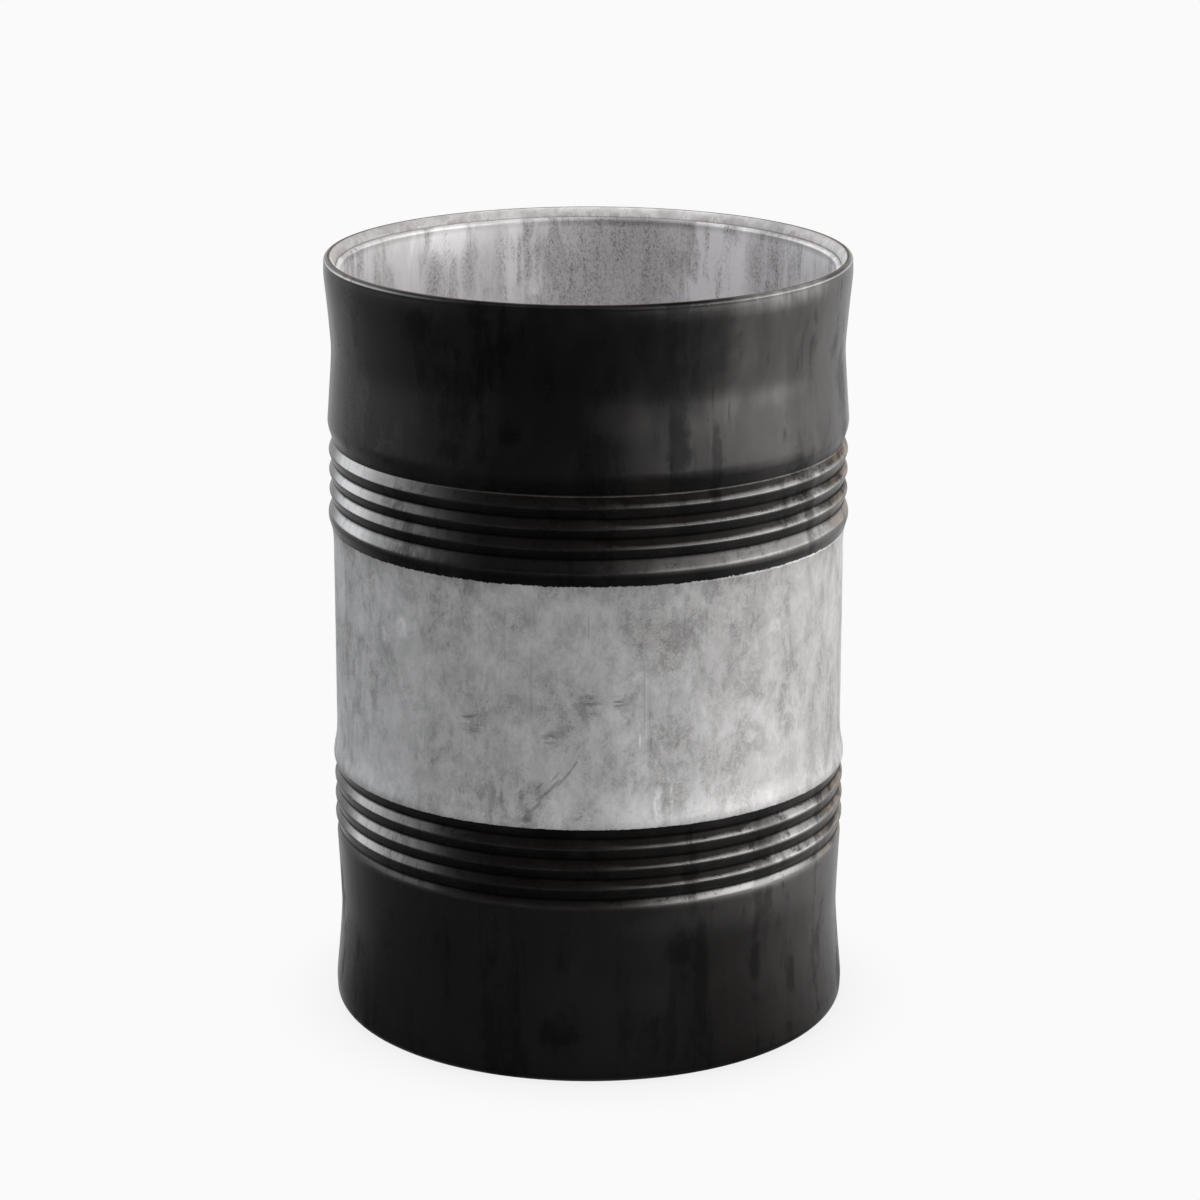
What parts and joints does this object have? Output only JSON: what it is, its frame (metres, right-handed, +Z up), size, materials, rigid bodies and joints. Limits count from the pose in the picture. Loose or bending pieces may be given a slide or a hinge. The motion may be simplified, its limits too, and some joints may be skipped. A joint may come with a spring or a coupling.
{
  "type": "steel oil drum",
  "caption": "Open-topped, double-walled steel drum with two groups of pressed ribs, a waisted body, a rolled rim bead and a rolled-in foot, for holding loose goods or liquids.",
  "frame": {"origin": "centre of the standing ring, on the floor plane", "axes": "+Z up along the drum's axis; the shell's upright weld is at +Y and the liner's at -Y"},
  "size_m": [0.593, 0.593, 0.88],
  "materials": {
    "shell_paint": "worn satin black paint above and below, silver-grey paint between the two rib groups",
    "head_paint": "dull black paint with scuffs",
    "liner_steel": "stained, streaked bare steel",
    "liner_floor_steel": "stained bare steel",
    "inner_steelwork": "dull mill finish",
    "weld_metal": "rough weld with light rust",
    "seam_compound": "dull cured compound"
  },
  "bodies": {
    "root": {"outer_shell": "shell_paint", "shell_seam_weld": "shell_paint", "rim_wire": "inner_steelwork", "bottom_head": "head_paint", "bottom_seam_compound": "seam_compound", "bottom_head_weld": "weld_metal", "inner_liner": "liner_steel", "liner_seam_weld": "liner_steel", "liner_rim_weld": "weld_metal", "liner_floor": "liner_floor_steel", "liner_floor_weld": "weld_metal", "liner_bearer_ring": "inner_steelwork", "upper_spacer_hoop": "inner_steelwork", "lower_spacer_hoop": "inner_steelwork"}
  },
  "joints": []
}
